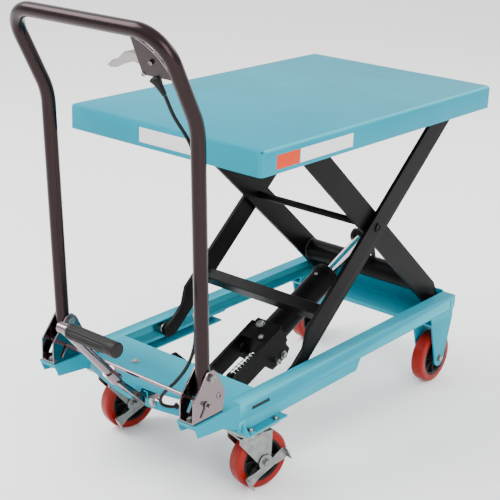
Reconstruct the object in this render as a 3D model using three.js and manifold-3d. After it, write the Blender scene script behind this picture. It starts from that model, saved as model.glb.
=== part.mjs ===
// Hydraulic scissor lift table with a push handle, two swivel casters and two fixed wheels.
// Millimetres, +Z up, the floor at Z = 0, +X to the table's right, the handle at its -Y end.
import * as THREE from 'three';
import { mergeVertices } from 'three/addons/utils/BufferGeometryUtils.js';
import Module from 'manifold-3d';

const wasm = await Module();
wasm.setup();

// ---------- driving dimensions ----------
const table = { length: 815, width: 500, top: 734, skirt: 50, sheet: 3 };
const reach = { pedal: 670, rearWheel: 421.5 };
const gap = 0.3;
const rail = { outer: 212, inner: 179, bottom: 181, top: 219, wall: 3.5, front: -403, rear: 406 };
const arm = { length: 775, half: 28, angle: THREE.MathUtils.degToRad(41.15) };
const armX = { innerLow: 156, innerHigh: 165, outerLow: 168, outerHigh: 177 };
const pivot = { rearY: 388, lowZ: 198, radius: 14, pin: 8 };
const roller = { radius: 13.2, low: 180, high: 204, bore: 6.4 };
const wheel = { radius: 63.5, width: 32, hubRadius: 47 };
const rearWheel = { x: 184, y: 358 };
const caster = { x: 186, y: -342, trail: 30, turn: THREE.MathUtils.degToRad(14) };
const post = { x: 192, radius: 14, footY: -486, footZ: 264, bendY: -514, bendZ: 786 };
const topBar = { y: -604, z: 955 };
const lock = { y: -496.5, z: 256, radius: 4, travel: 22, tilt: THREE.MathUtils.degToRad(31) };
const ram = { y: -250, z: 98, eyeY: 303, eyeZ: 336, barrel: 30, rod: 12.5 };
const pedal = { y: -262, z: 160 };
const pump = { front: 172, rear: 236 };
const spring = { length: 88, outer: 13.5, inner: 9.5, clear: 1.6 };

// ---------- colours ----------
const looks = {
  paint: { color: 0x4fa9bd, roughness: 0.42, metalness: 0.1 },
  blackSteel: { color: 0x1b1818, roughness: 0.38, metalness: 0.4 },
  chrome: { color: 0x9a8c92, roughness: 0.14, metalness: 1 },
  zinc: { color: 0xa9adb0, roughness: 0.34, metalness: 0.85 },
  polyurethane: { color: 0xb23122, roughness: 0.4, metalness: 0 },
  blackPlastic: { color: 0x161616, roughness: 0.5, metalness: 0 },
  rubber: { color: 0x141414, roughness: 0.75, metalness: 0 },
  aluminium: { color: 0xc9c3c4, roughness: 0.3, metalness: 0.7 },
};

// ---------- geometry to solid and back ----------
function toSolid(geometry) {
  const bare = geometry.clone();
  bare.deleteAttribute('normal');
  bare.deleteAttribute('uv');
  const merged = mergeVertices(bare, 1e-4);
  return new wasm.Manifold(new wasm.Mesh({
    numProp: 3,
    vertProperties: new Float32Array(merged.attributes.position.array),
    triVerts: Uint32Array.from(merged.index.array),
  }));
}

function toGeometry(solid) {
  const mesh = solid.getMesh();
  const geometry = new THREE.BufferGeometry();
  geometry.setAttribute('position', new THREE.BufferAttribute(mesh.vertProperties.slice(), 3));
  geometry.setIndex(new THREE.BufferAttribute(mesh.triVerts.slice(), 1));
  const flat = geometry.toNonIndexed();
  flat.computeVertexNormals();
  return flat;
}

function reflect(solid) {
  const mesh = solid.getMesh();
  const positions = mesh.vertProperties.slice();
  const corners = mesh.triVerts.slice();
  for (let i = 0; i < positions.length; i += 3) positions[i] = -positions[i];
  for (let i = 0; i < corners.length; i += 3) corners.subarray(i, i + 3).reverse();
  return new wasm.Manifold(new wasm.Mesh({ numProp: 3, vertProperties: positions, triVerts: corners }));
}

function join(solids) {
  return solids.reduce((whole, solid) => whole.add(solid));
}

// ---------- shapes ----------
function box(low, high) {
  const size = high.map((value, axis) => value - low[axis]);
  const geometry = new THREE.BoxGeometry(...size);
  geometry.translate(...low.map((value, axis) => value + size[axis] / 2));
  return toSolid(geometry);
}

function shapeOf(outline, holes = []) {
  const shape = new THREE.Shape(outline.map((point) => new THREE.Vector2(...point)));
  for (const hole of holes) shape.holes.push(new THREE.Path(hole.map((point) => new THREE.Vector2(...point))));
  return shape;
}

function prism(outline, depth, basis, holes) {
  const geometry = new THREE.ExtrudeGeometry(shapeOf(outline, holes), { depth, bevelEnabled: false });
  geometry.applyMatrix4(basis);
  return toSolid(geometry);
}

// An outline of [y, z] points, extruded from X = low to X = high.
function prismX(outline, low, high, holes) {
  const basis = new THREE.Matrix4().set(0, 0, 1, low, 1, 0, 0, 0, 0, 1, 0, 0, 0, 0, 0, 1);
  return prism(outline, high - low, basis, holes);
}

// An outline of [x, z] points, extruded from Y = low to Y = high.
function prismY(outline, low, high) {
  const basis = new THREE.Matrix4().set(1, 0, 0, 0, 0, 0, -1, high, 0, 1, 0, 0, 0, 0, 0, 1);
  return prism(outline, high - low, basis);
}

// An outline of [x, y] points, extruded from Z = low to Z = high.
function prismZ(outline, low, high) {
  return prism(outline, high - low, new THREE.Matrix4().makeTranslation(0, 0, low));
}

function arc(centreA, centreB, radius, from, to, steps) {
  const points = [];
  for (let i = 0; i <= steps; i += 1) {
    const angle = THREE.MathUtils.degToRad(from + ((to - from) * i) / steps);
    points.push([centreA + radius * Math.cos(angle), centreB + radius * Math.sin(angle)]);
  }
  return points;
}

function rod(start, end, radius, segments = 20) {
  const from = new THREE.Vector3(...start);
  const along = new THREE.Vector3(...end).sub(from);
  const geometry = new THREE.CylinderGeometry(radius, radius, along.length(), segments);
  geometry.translate(0, along.length() / 2, 0);
  geometry.applyQuaternion(new THREE.Quaternion().setFromUnitVectors(
    new THREE.Vector3(0, 1, 0), along.clone().normalize()));
  geometry.translate(from.x, from.y, from.z);
  return toSolid(geometry);
}

function rodX(low, high, y, z, radius, segments) {
  return rod([low, y, z], [high, y, z], radius, segments);
}

// A closed [radius, height] profile turned about the line from start towards end.
function turned(profile, start, end, segments) {
  const geometry = new THREE.LatheGeometry(profile.map((point) => new THREE.Vector2(...point)), segments);
  const from = new THREE.Vector3(...start);
  const direction = new THREE.Vector3(...end).sub(from).normalize();
  geometry.applyQuaternion(new THREE.Quaternion().setFromUnitVectors(new THREE.Vector3(0, 1, 0), direction));
  geometry.translate(from.x, from.y, from.z);
  return toSolid(geometry);
}

function tube(path, radius, steps, sides) {
  const section = shapeOf(arc(0, 0, radius, 0, 360 - 360 / sides, sides - 1));
  return toSolid(new THREE.ExtrudeGeometry(section, { steps, extrudePath: path, bevelEnabled: false }));
}

// Straight runs between corner points, with each inner corner rounded by its radius.
function roundedPath(points, radii) {
  const path = new THREE.CurvePath();
  let last = points[0];
  for (let i = 1; i < points.length - 1; i += 1) {
    const back = points[i - 1].clone().sub(points[i]).normalize();
    const ahead = points[i + 1].clone().sub(points[i]).normalize();
    const half = back.angleTo(ahead) / 2;
    const reach = radii[i - 1] / Math.tan(half);
    const enter = points[i].clone().addScaledVector(back, reach);
    const leave = points[i].clone().addScaledVector(ahead, reach);
    path.add(new THREE.LineCurve3(last, enter));
    const bulge = (4 / 3) * Math.tan((Math.PI - 2 * half) / 4) * radii[i - 1];
    path.add(new THREE.CubicBezierCurve3(enter, enter.clone().addScaledVector(back, -bulge),
      leave.clone().addScaledVector(ahead, -bulge), leave));
    last = leave;
  }
  path.add(new THREE.LineCurve3(last, points[points.length - 1]));
  return path;
}

// ---------- the assembly ----------
const part = new THREE.Group();
part.position.y = (reach.pedal - reach.rearWheel) / 2;

function add(name, solid, look) {
  const mesh = new THREE.Mesh(toGeometry(solid), new THREE.MeshStandardMaterial(looks[look]));
  mesh.name = name;
  part.add(mesh);
}

function addPair(name, rightSolid, look) {
  add(`${name}_right`, rightSolid, look);
  add(`${name}_left`, reflect(rightSolid), look);
}

// ---------- base frame ----------
function sideRail() {
  const { outer, inner, bottom, top, wall, front, rear } = rail;
  const side = [[front, bottom], [rear - 6, bottom], ...arc(rear - 10, bottom + 10, 10, -60, 0, 4),
    ...arc(rear - 10, top - 10, 10, 0, 90, 4), [front, top]];
  const channel = prismX(side, inner, outer)
    .subtract(box([0, front - 1, bottom + wall], [outer - wall, rear + 1, top - wall]))
    .subtract(box([0, front - 1, top - wall - 1], [inner + 3, rear + 1, top + 1]));
  const bearing = box([184, pivot.rearY - 12, bottom + 1], [outer - 1, pivot.rearY + 12, top - 1])
    .subtract(rodX(150, 205, pivot.rearY, pivot.lowZ, pivot.pin + gap, 24));
  const slot = box([outer - 2, -361, 194], [outer + 1, -306, 202]);
  const rearSlot = box([outer - 5, 384, 187], [outer + 1, 388.5, 209]);
  return channel.add(bearing).subtract(slot).subtract(rearSlot);
}

function railStiffener() {
  const top = rail.bottom - gap;
  const side = [[-376, 155.4], [-3, 155.4], [12, top], [-376, top]];
  return prismX(side, rail.inner, rail.outer)
    .subtract(box([0, -377, 159], [rail.outer - rail.wall, 20, top - rail.wall]));
}

// The front skirt bows forward, so its front line is a curve across X.
function deckFront(x) {
  return -462 + 52 * (Math.abs(x) / 205) ** 1.7;
}

function deckProfile(x, inset) {
  const bend = 28;
  const front = deckFront(x) + inset;
  const points = [[-322, 219 - inset]];
  for (const point of arc(front + bend - inset, 219 - bend, bend - inset, 90, 180, 6)) points.push(point);
  points.push([front, 172]);
  return points;
}

function deckShell(halfWidth, stations) {
  const rings = [];
  for (let i = 0; i <= stations; i += 1) {
    const x = -halfWidth + (2 * halfWidth * i) / stations;
    const ring = [...deckProfile(x, 0), ...deckProfile(x, 4).reverse()];
    rings.push(ring.map(([y, z]) => [x, y, z]));
  }
  return lofted(rings);
}

// Skins a row of matching rings and closes both ends with the strip between their two halves.
function lofted(rings) {
  const count = rings[0].length;
  const corners = [];
  for (let i = 0; i < rings.length - 1; i += 1) {
    for (let j = 0; j < count; j += 1) {
      const next = (j + 1) % count;
      const a = i * count + j;
      const b = i * count + next;
      corners.push(a, b, a + count, b, b + count, a + count);
    }
  }
  const last = (rings.length - 1) * count;
  for (let j = 0; j < count / 2 - 1; j += 1) {
    const mate = count - 1 - j;
    corners.push(j, mate, j + 1, j + 1, mate, mate - 1);
    corners.push(last + j, last + j + 1, last + mate, last + j + 1, last + mate - 1, last + mate);
  }
  const geometry = new THREE.BufferGeometry();
  geometry.setAttribute('position', new THREE.Float32BufferAttribute(rings.flat(2), 3));
  geometry.setIndex(corners);
  return toSolid(geometry);
}

function frontDeck() {
  const cheek = prismX([[-376.5, 180.7], [-376.5, 155.4], [-396, 155.4], [-403, 166], [-411, 170],
    [-411, 190], [-403.4, 190], [-403.4, 180.7]], 208, 211.7);
  const railSpace = box([181.7, -403.3, 180.7], [230, -300, 230]);
  const notch = box([-22, -480, 150], [18, -440, 199]);
  const cableSlot = box([3, -480, 189], [112, -440, 206]);
  return join([deckShell(211.7, 20), cheek, reflect(cheek)])
    .subtract(railSpace).subtract(reflect(railSpace)).subtract(notch).subtract(cableSlot);
}

function handleHorn() {
  const side = [[-403, 166], [-448, 188], [-522, 196], [-534, 223.3], [-400, 223.3], [-400, 219.3], [-403, 219.3]];
  const channel = prismX(side, 168.7, 215.3)
    .subtract(box([171.7, -530, 150], [212.3, -390, 219.3]))
    .subtract(box([160, -434, 150], [200, -390, 219.3]));
  return channel;
}

function casterMount() {
  const plate = prismZ([[150, -392], [230, -392], [230, -268], [150, -268]], 151, 155);
  const boss = rod([221, -375, 154], [221, -375, 159], 9);
  const gusset = prismY([[rail.outer + gap, 154], [230, 154], [230, 157], [rail.outer + gap, 176]], -392, -388);
  return join([plate, boss, gusset]);
}

function rearCrossPlate() {
  const floor = box([-156, 298, 161], [156, 406.5, 165]);
  const lip = box([-156, 298, 161], [156, 301, 171]);
  const wall = box([-177.5, 403, 161], [177.5, 407, 219]);
  const flange = box([-154, 392, 215.5], [154, 407, 219]);
  return join([floor, lip, wall, flange]);
}

// ---------- wheels ----------
function tread(centre, normal) {
  const half = wheel.width / 2;
  const edge = 5;
  const profile = [[wheel.hubRadius + gap, -half], [wheel.radius - edge, -half],
    [wheel.radius - 1.5, -half + 1.8], [wheel.radius, -half + edge], [wheel.radius, half - edge],
    [wheel.radius - 1.5, half - 1.8], [wheel.radius - edge, half], [wheel.hubRadius + gap, half],
    [wheel.hubRadius + gap, -half]];
  return turned(profile, centre, centre.map((value, axis) => value + normal[axis]), 44);
}

function hub(centre, normal, axleHalf) {
  const half = wheel.width / 2 - 1;
  const dish = 9;
  const profile = [[0, -axleHalf], [6, -axleHalf], [6, -half - 3], [15, -half - 3], [16, -half + dish],
    [38, -half + dish], [40, -half], [wheel.hubRadius, -half], [wheel.hubRadius, half], [40, half],
    [38, half - dish], [16, half - dish], [15, half + 3], [6, half + 3], [6, axleHalf], [0, axleHalf]];
  return turned(profile, centre, centre.map((value, axis) => value + normal[axis]), 24);
}

function rearFork() {
  const { x, y } = rearWheel;
  const axle = rodX(x - 40, x + 40, y, wheel.radius, 6.4, 16);
  const side = (topZ) => [[y - 52, topZ], ...arc(y, wheel.radius, 20, 200, 340, 8), [y + 44, topZ - 20],
    [y + 44, topZ]];
  const outer = prismX(side(rail.bottom - gap), x + 22.5, x + 26.5);
  const inner = prismX(side(164), x - 26.5, x - 22.5);
  const roof = box([x - 26.5, y - 52, 160], [x + 26.5, y + 44, 164]);
  const riser = box([x - 4.5, y - 52, 163], [x - 0.5, y + 44, rail.bottom - gap]);
  return join([outer, inner, roof, riser]).subtract(axle);
}

function casterHead(side) {
  const x = side * caster.x;
  const angle = caster.turn;
  const towards = [Math.sin(angle), Math.cos(angle)];
  return {
    axle: [x + caster.trail * towards[0], caster.y + caster.trail * towards[1], wheel.radius],
    normal: [Math.cos(angle), -Math.sin(angle), 0],
    pivot: [x, caster.y],
  };
}

// Places a solid drawn at the origin, with its axle along X, into a turned caster.
function turnedInto(head, solid) {
  const geometry = toGeometry(solid);
  geometry.rotateZ(-caster.turn);
  geometry.translate(head.pivot[0], head.pivot[1], 0);
  return toSolid(geometry);
}

function casterPlate(side) {
  const x = side * caster.x;
  const plate = box([x - 42.5, caster.y - 50, 146.5], [x + 42.5, caster.y + 50, 150.7]);
  const race = rod([x, caster.y, 137], [x, caster.y, 147], 27, 28);
  return plate.add(race);
}

function casterFork() {
  const cup = rod([0, 0, 131.5], [0, 0, 136.6], 29, 28);
  const roof = box([-24, -33, 128], [24, 46, 132]);
  const legSide = [[-33, 131.5], [-33, 118], ...arc(caster.trail, wheel.radius, 15, 190, 350, 7), [46, 118],
    [46, 131.5]];
  const leg = prismX(legSide, 20, 24);
  const axle = rodX(-40, 40, caster.trail, wheel.radius, 6.4, 16);
  return join([cup, roof, leg, reflect(leg)]).subtract(axle);
}

// A foot brake that rocks on the fork's outer leg. Its two ends are folded outward as foot tabs,
// so each tab stands across the link.
function casterBrake() {
  const y = caster.trail;
  const z = wheel.radius;
  const low = [-44, -36];
  const high = [50, 11];
  const length = Math.hypot(high[0] - low[0], high[1] - low[1]);
  const along = [(high[0] - low[0]) / length, (high[1] - low[1]) / length];
  const place = (s, n) => [y + low[0] + s * along[0] - n * along[1], z + low[1] + s * along[1] + n * along[0]];
  const outline = (points) => points.map(([s, n]) => place(s, n));
  const link = prismX(outline([[0, -13], [10, -13], [26, -8], [70, -8], [length - 12, -13], [length, -13],
    [length, 13], [length - 12, 13], [70, 9], [26, 9], [10, 13], [0, 13]]), 24.8, 27.8);
  const boss = rodX(24.8, 27.8, y, z, 17, 24);
  const tab = (from, to) => prismX(outline([[from, -13], [to, -13], [to, 13], [from, 13]]), 24.8, 42);
  return join([link, boss, tab(0, 3), tab(length - 3, length)]).subtract(rodX(20, 30, y, z, 7.4, 16));
}

// ---------- push handle ----------
const slope = new THREE.Vector3(0, topBar.y - post.bendY, topBar.z - post.bendZ).normalize();
const slopeLength = Math.hypot(topBar.y - post.bendY, topBar.z - post.bendZ);

// A point of the handle's slanted upper part: u across, v up the slope, w towards the platform.
function slanted(u, v, w = 0) {
  return [u, post.bendY + slope.y * v + slope.z * w, post.bendZ + slope.z * v - slope.y * w];
}

function slantedPrism(outline, low, high, holes) {
  const [originX, originY, originZ] = slanted(0, 0, high);
  const basis = new THREE.Matrix4().set(
    1, 0, 0, originX, 0, slope.y, -slope.z, originY, 0, slope.z, slope.y, originZ, 0, 0, 0, 1);
  return prism(outline, high - low, basis, holes);
}

function handleTube() {
  const corner = (x, y, z) => new THREE.Vector3(x, y, z);
  const bend = 62;
  const path = roundedPath([
    corner(-post.x, post.footY, post.footZ), corner(-post.x, post.bendY, post.bendZ),
    corner(-post.x, topBar.y, topBar.z), corner(post.x, topBar.y, topBar.z),
    corner(post.x, post.bendY, post.bendZ), corner(post.x, post.footY, post.footZ)],
  [120, bend, bend, 120]);
  const hole = rodX(-230, 230, -484, 306, 4.6, 12);
  return tube(path, post.radius, 84, 14).subtract(hole);
}

// The slanted slot that the lock rod slides down; the rod rests at its upper end.
function lockSlot() {
  const half = lock.radius + 0.6;
  const place = (down, across) => [lock.y - Math.sin(lock.tilt) * down + Math.cos(lock.tilt) * across,
    lock.z - Math.cos(lock.tilt) * down - Math.sin(lock.tilt) * across];
  const bottom = lock.travel + half;
  return [place(-half, -half), place(bottom, -half), place(bottom, half), place(-half, half)];
}

function handleBracket() {
  const side = [[-531, 223.7], [-531, 270], [-491, 321], [-478, 321], [-467, 312], [-443, 266], [-448, 223.7]];
  const cheek = (low, high) => prismX(side, low, high, [lockSlot()]);
  const web = box([174, -531, 223.7], [210, -448, 227]);
  return join([cheek(207, 210), cheek(174, 177), web]).subtract(rodX(170, 215, -484, 306, 4.6, 12));
}

function pivotBolt() {
  return join([rodX(170, 214, -484, 306, 4.2, 12), rodX(210.4, 216, -484, 306, 8.5, 6),
    rodX(168, 173.6, -484, 306, 8.5, 6)]);
}

function leverBracket() {
  const edge = slopeLength - post.radius - gap;
  const inner = post.x - post.radius - gap;
  const outline = [[116, edge], [110, 101], [118, 99], [inner, 99], [inner, 112], [170, 132], [158, 152],
    [138, 170], [126, edge]];
  const hole = rod(slanted(145, 131.5, -9), slanted(145, 131.5, 2), 4.3, 16);
  return slantedPrism(outline, -5, -2).subtract(hole);
}

function releaseLever() {
  const outline = [[158, 141], [119, 138], [96, 140], [70, 131], [46, 113], [28, 106], [22, 101], [28, 97],
    [46, 100], [70, 112], [95, 121], [116, 115], [140, 112], [158, 120]];
  const blade = slantedPrism(outline, -1.6, 8);
  const [x, y, z] = slanted(145, 131.5, -8);
  return blade.add(rod([x, y, z], slanted(145, 131.5, 0), 3.8, 12));
}

function lockRod() {
  return rodX(-222, 222, lock.y, lock.z, lock.radius, 12);
}

function cableBoot() {
  const start = slanted(136, 95.5, -3.5);
  const end = slanted(143.5, 60.6, -3.5);
  return turned([[0, 0], [11, 0], [11, 4], [8, 12], [4.8, 34], [0, 34]], start, end, 16);
}

const cableStart = slanted(143.5, 60.2, -3.5);
const cableRoute = [
  cableStart, [152, -531, 800], [165, -514, 765], [170, -503, 738], [172, -496, 690], [173, -493, 600],
  [173, -492, 500], [173, -489, 420], [168, -485, 360], [150, -483, 312], [122, -484, 270],
  [98, -485, 243], [84, -486, 222], [84, -482, 207], [92, -468, 199], [100, -452, 197],
];

function controlCable() {
  const path = new THREE.CatmullRomCurve3(cableRoute.map((point) => new THREE.Vector3(...point)));
  return tube(path, 3.5, 64, 8);
}

// ---------- scissor ----------
const along = { y: Math.cos(arm.angle), z: Math.sin(arm.angle) };
const rise = arm.length * along.z;
const highZ = pivot.lowZ + rise;
const frontY = pivot.rearY - arm.length * along.y;

// A point of the outer arm: s from its front roller up the arm, n above its centre line.
function onOuter([s, n]) {
  return [frontY + s * along.y - n * along.z, pivot.lowZ + s * along.z + n * along.y];
}

// The same for the inner arm, which runs from the rear pivot up to the front.
function onInner([s, n]) {
  return [pivot.rearY - s * along.y + n * along.z, pivot.lowZ + s * along.z + n * along.y];
}

const middle = onOuter([arm.length / 2, 0]);

function outerArm() {
  const { length, half } = arm;
  const outline = [[-14, -14], [0, -half + 2], [14, -half], [length - 60, -half], [length - 30, -22],
    ...arc(length, 0, pivot.radius, -90, 60, 6), [length - 40, 20], [length - 90, half], [98, half], [64, 5.4],
    [22, 5.4], [0, 11], [-10, 10], [-16, 2]];
  const plate = prismX(outline.map(onOuter), armX.outerLow, armX.outerHigh)
    .subtract(rodX(150, 180, ...middle, pivot.pin + gap, 24));
  const rollerPin = rodX(armX.outerHigh - 1, 206, frontY, pivot.lowZ, 6, 16);
  const topPin = rodX(armX.outerHigh - 1, 203, pivot.rearY, highZ, pivot.pin, 20);
  return join([plate, rollerPin, topPin]);
}

function innerArm() {
  const { length, half } = arm;
  const outline = [...arc(0, 0, pivot.radius, 120, 250, 6), [36, -half], [length - 12, -half],
    [length + 4, -20], [length + 15, -4], [length + 13, 8], [length, 12], [length - 40, 14],
    [length - 90, half], [36, half]];
  const plate = prismX(outline.map(onInner), armX.innerLow, armX.innerHigh)
    .subtract(rodX(150, 180, ...middle, pivot.pin + gap, 24));
  const rollerPin = rodX(armX.innerHigh - 1, 206, frontY, highZ, 6, 16);
  const rearPin = rodX(armX.innerHigh - 1, 203, pivot.rearY, pivot.lowZ, pivot.pin, 20);
  return join([plate, rollerPin, rearPin]);
}

function crossbar() {
  const half = armX.outerLow - gap;
  const outline = [[146, -30], [172, -30], [172, 6], [146, 6]];
  return prismX(outline.map(onOuter), -half, half);
}

function centreShaft() {
  const head = (low, high) => rodX(low, high, ...middle, 12, 20);
  return join([rodX(-178, 178, ...middle, pivot.pin, 20), head(177.4, 180.4), head(-180.4, -177.4)]);
}

function thrustTube() {
  const centre = onInner([101, 0]);
  const half = armX.innerLow - gap;
  const pipe = rodX(-half, half, ...centre, 26, 32);
  const lugOutline = [[84, 16], [100, 26], ...arc(154.8, 48, 17, -60, 150, 10), [90, 22]];
  const lug = prismX(lugOutline.map(onInner), 14.5, 24);
  const eyePin = rodX(-24, 24, ram.eyeY, ram.eyeZ, 7, 20);
  return join([pipe, lug, reflect(lug), eyePin]);
}

function trackRoller(z) {
  const profile = [[roller.bore, roller.low], [roller.radius, roller.low], [roller.radius, roller.high],
    [roller.bore, roller.high], [roller.bore, roller.low]];
  return turned(profile, [0, frontY, z], [1, frontY, z], 28);
}

// ---------- platform ----------
function platformTop() {
  const halfX = table.width / 2;
  const halfY = table.length / 2;
  const corner = 10;
  const plan = (inset, z) => {
    const radius = corner - Math.min(inset, corner - 1);
    const cx = halfX - inset - radius;
    const cy = halfY - inset - radius;
    const points = [...arc(cx, cy, radius, 0, 90, 5), ...arc(-cx, cy, radius, 90, 180, 5),
      ...arc(-cx, -cy, radius, 180, 270, 5), ...arc(cx, -cy, radius, 270, 360, 5)];
    return points.map(([x, y]) => [x, y, z]);
  };
  const bottom = table.top - table.skirt;
  const bend = 7;
  const rings = [plan(0, bottom), plan(0, table.top - bend), plan(bend * 0.29, table.top - bend * 0.29),
    plan(bend, table.top)];
  const outside = stacked(rings);
  const inside = box([-halfX + table.sheet, -halfY + table.sheet, bottom - 1],
    [halfX - table.sheet, halfY - table.sheet, table.top - table.sheet]);
  return outside.subtract(inside);
}

// Skins rings from the bottom up and closes both ends with a fan.
function stacked(rings) {
  const count = rings[0].length;
  const corners = [];
  for (let i = 0; i < rings.length - 1; i += 1) {
    for (let j = 0; j < count; j += 1) {
      const next = (j + 1) % count;
      const a = i * count + j;
      const b = i * count + next;
      corners.push(a, b, b + count, a, b + count, a + count);
    }
  }
  const last = (rings.length - 1) * count;
  for (let j = 1; j < count - 1; j += 1) {
    corners.push(0, j + 1, j);
    corners.push(last, last + j, last + j + 1);
  }
  const geometry = new THREE.BufferGeometry();
  geometry.setAttribute('position', new THREE.Float32BufferAttribute(rings.flat(2), 3));
  geometry.setIndex(corners);
  return toSolid(geometry);
}

function platformChannel() {
  const bottom = highZ - 17.5;
  const top = highZ + 17.5;
  const wall = 3.8;
  const under = table.top - table.sheet - gap;
  const shell = box([181, -390, bottom], [209, 400, top])
    .subtract(box([170, -391, bottom + wall], [206, 401, top - wall]));
  const spacer = box([184, -380, top - 0.5], [206, 395, under]);
  const bearing = box([186, pivot.rearY - 11, bottom + 1], [208, pivot.rearY + 11, top - 1])
    .subtract(rodX(150, 205, pivot.rearY, highZ, pivot.pin + gap, 24));
  return join([shell, spacer, bearing]);
}

// ---------- hydraulics ----------
const ramLength = Math.hypot(ram.eyeY - ram.y, ram.eyeZ - ram.z);
const ramAlong = { y: (ram.eyeY - ram.y) / ramLength, z: (ram.eyeZ - ram.z) / ramLength };

// A point of the ram: s from the lower trunnion towards the rod eye, n above its axis.
function onRam([s, n]) {
  return [ram.y + s * ramAlong.y - n * ramAlong.z, ram.z + s * ramAlong.z + n * ramAlong.y];
}

function ramRod() {
  const eye = rodX(-13.5, 13.5, ram.eyeY, ram.eyeZ, 17, 28).subtract(rodX(-20, 20, ram.eyeY, ram.eyeZ, 7.3, 20));
  const shaft = rod([0, ...onRam([347, 0])], [0, ...onRam([ramLength - 15, 0])], ram.rod, 28);
  return eye.add(shaft);
}

function cylinderBarrel() {
  const [first, gland, end] = [pump.rear + gap, 436, 452];
  const profile = [[0, 0], [ram.barrel, 0], [ram.barrel, gland - first], [ram.barrel + 3, gland - first],
    [ram.barrel + 3, end - first - 2], [ram.barrel + 1, end - first], [ram.rod + 0.8, end - first],
    [ram.rod + 0.8, 12], [0, 12]];
  return turned(profile, [0, ...onRam([first, 0])], [0, ...onRam([end, 0])], 36);
}

function pumpBody() {
  const block = prismX([[pump.front, -26], [pump.rear, -30], [pump.rear, 33], [pump.front, 35]].map(onRam), -34, 34);
  const plateSide = [[-14, 0], [-8, -13], [8, -14], [150, -15], [168, -42], [222, -46], [236, -34],
    [228, -12], [pump.rear, -10], [pump.rear, 14], [222, 36], [64, 34], [0, 15]].map(onRam);
  const plate = prismX(plateSide, 33.5, 40);
  const trunnion = rodX(39, 45, ram.y, ram.z, 9, 20);
  const bore = rod(plungerPoint(-10), plungerPoint(30), 7.4, 16);
  return join([block, plate, reflect(plate), trunnion, reflect(trunnion)]).subtract(bore);
}

// The plunger's axis meets the block's front face; 0 is at that face, positive runs into the block.
const plungerFace = onRam([pump.front, -12]);
const plungerTilt = THREE.MathUtils.degToRad(18.4);

function plungerPoint(distance) {
  return [0, plungerFace[0] + distance * Math.cos(plungerTilt), plungerFace[1] + distance * Math.sin(plungerTilt)];
}

function plunger() {
  const seat = -spring.length - 7;
  return join([rod(plungerPoint(-148), plungerPoint(6), 6.5, 16),
    rod(plungerPoint(seat), plungerPoint(seat + 6), 13.5, 20)]);
}

function returnSpring() {
  const { length, outer, inner, clear } = spring;
  const profile = [[inner, 0], [outer, 0], [outer, length - clear], [inner, length - clear], [inner, 0]];
  return turned(profile, plungerPoint(-length), plungerPoint(-clear), 24);
}

function cylinderHanger() {
  const side = [[-330, 214.6], [-300, 214.6], [-240, 160], [-234, 92], [-243, 82], [-258, 82], [-268, 92],
    [-290, 140], [-330, 160]];
  const plate = prismX(side, 48, 52)
    .subtract(rodX(40, 60, ram.y, ram.z, 12, 24))
    .subtract(rodX(40, 60, pedal.y, pedal.z, 8.3, 20));
  const tie = box([-52, -330, 196], [52, -322, 214.6]);
  return join([plate, reflect(plate), tie]);
}

function pedalShaft() {
  return rodX(-56, 56, pedal.y, pedal.z, 8, 20);
}

function pedalArm() {
  const bar = [[-262, 144], [-266, 176], [-330, 180], [-454, 187], [-526, 253], [-533, 247], [-461, 177],
    [-330, 167], [-276, 150]];
  const inner = [[-274, 152], [-256, 98], [-240, 98], [-248, 152]];
  const hubSolid = rodX(-20, 20, pedal.y, pedal.z, 17, 28);
  const grip = [0, -655, 396];
  const arm3 = rod([0, -522, 246], [0, -655, 396], 9.5, 20);
  const collar = rod([0, -523, 247], [0, -545, 272], 13, 20);
  const bend = rodX(-12, 14.7, grip[1], grip[2], 9.5, 20);
  const bore = rodX(-30, 30, pedal.y, pedal.z, 8.4, 20);
  return join([prismX(bar, -14, 14), prismX(inner, -12, 12), hubSolid, arm3, collar, bend]).subtract(bore);
}

function pedalGrip() {
  return rodX(15, 140, -655, 396, 15, 24);
}

// ---------- build ----------
addPair('side_rail', sideRail(), 'paint');
addPair('rail_stiffener', railStiffener(), 'paint');
add('front_deck', frontDeck(), 'paint');
add('rear_cross_plate', rearCrossPlate(), 'paint');
addPair('handle_horn', handleHorn(), 'paint');
addPair('caster_mount', casterMount(), 'paint');
addPair('rear_fork', rearFork(), 'paint');
addPair('handle_bracket', handleBracket(), 'chrome');
add('cylinder_hanger', cylinderHanger(), 'blackSteel');
add('pedal_shaft', pedalShaft(), 'zinc');

const rearCentre = [rearWheel.x, rearWheel.y, wheel.radius];
addPair('rear_tyre', tread(rearCentre, [1, 0, 0]), 'polyurethane');
addPair('rear_hub', hub(rearCentre, [1, 0, 0], 30), 'blackPlastic');

for (const [name, side] of [['right', 1], ['left', -1]]) {
  const head = casterHead(side);
  add(`caster_plate_${name}`, casterPlate(side), 'zinc');
  add(`caster_fork_${name}`, turnedInto(head, casterFork()), 'zinc');
  add(`caster_tyre_${name}`, tread(head.axle, head.normal), 'polyurethane');
  add(`caster_hub_${name}`, hub(head.axle, head.normal, 27.5), 'blackPlastic');
  add(`caster_brake_${name}`, turnedInto(head, casterBrake()), 'zinc');
}

add('push_handle', handleTube(), 'chrome');
addPair('handle_bolt', pivotBolt(), 'zinc');
add('lever_bracket', leverBracket(), 'chrome');
add('release_lever', releaseLever(), 'aluminium');
add('cable_boot', cableBoot(), 'rubber');
add('control_cable', controlCable(), 'rubber');
add('lock_rod', lockRod(), 'zinc');

addPair('outer_arm', outerArm(), 'blackSteel');
addPair('inner_arm', innerArm(), 'blackSteel');
add('arm_crossbar', crossbar(), 'blackSteel');
add('centre_shaft', centreShaft(), 'zinc');
add('thrust_tube', thrustTube(), 'blackSteel');
addPair('lower_roller', trackRoller(pivot.lowZ), 'zinc');
addPair('upper_roller', trackRoller(highZ), 'zinc');

add('platform_top', platformTop(), 'paint');
addPair('platform_channel', platformChannel(), 'blackSteel');

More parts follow.
